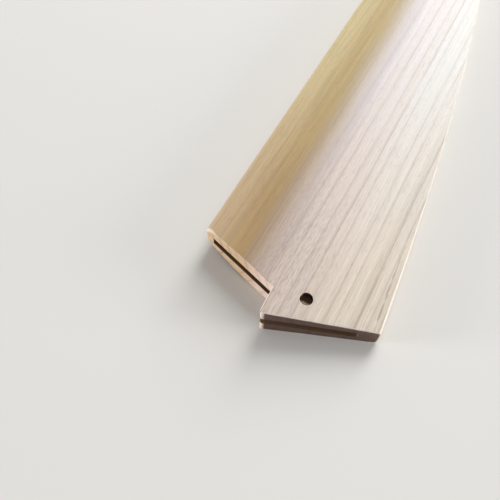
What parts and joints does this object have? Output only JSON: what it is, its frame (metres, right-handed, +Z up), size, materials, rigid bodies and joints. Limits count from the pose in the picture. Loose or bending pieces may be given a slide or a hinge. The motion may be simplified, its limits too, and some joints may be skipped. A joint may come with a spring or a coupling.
{
  "type": "knife blade guard",
  "caption": "Wooden sheath for a chef's knife blade: two shaped boards glued to thin strips round a blade slot, with a stepped mouth and a peg that locks the blade in.",
  "frame": {"origin": "centre of the sheath's footprint, on the flat facet of the back board that it lies on", "axes": "+X along the sheath from the mouth to the tip, +Y across it from the edge side to the spine, +Z up out of the front board"},
  "size_m": [0.2654, 0.0619, 0.0128],
  "materials": {
    "front_wood": "satin",
    "back_wood": "satin",
    "strip_wood": "satin",
    "pin_wood": "satin"
  },
  "bodies": {
    "sheath": {"front_board": "front_wood", "back_board": "back_wood", "spine_strip": "strip_wood", "edge_strip": "strip_wood", "tip_block": "strip_wood"},
    "pin": {"lock_pin": "pin_wood"}
  },
  "joints": [
    {"name": "lock_pin_slide", "type": "slide", "parent": "sheath", "child": "pin", "axis": [0, -0.0722, 0.9974], "range_m": [0, 0.0105]}
  ]
}
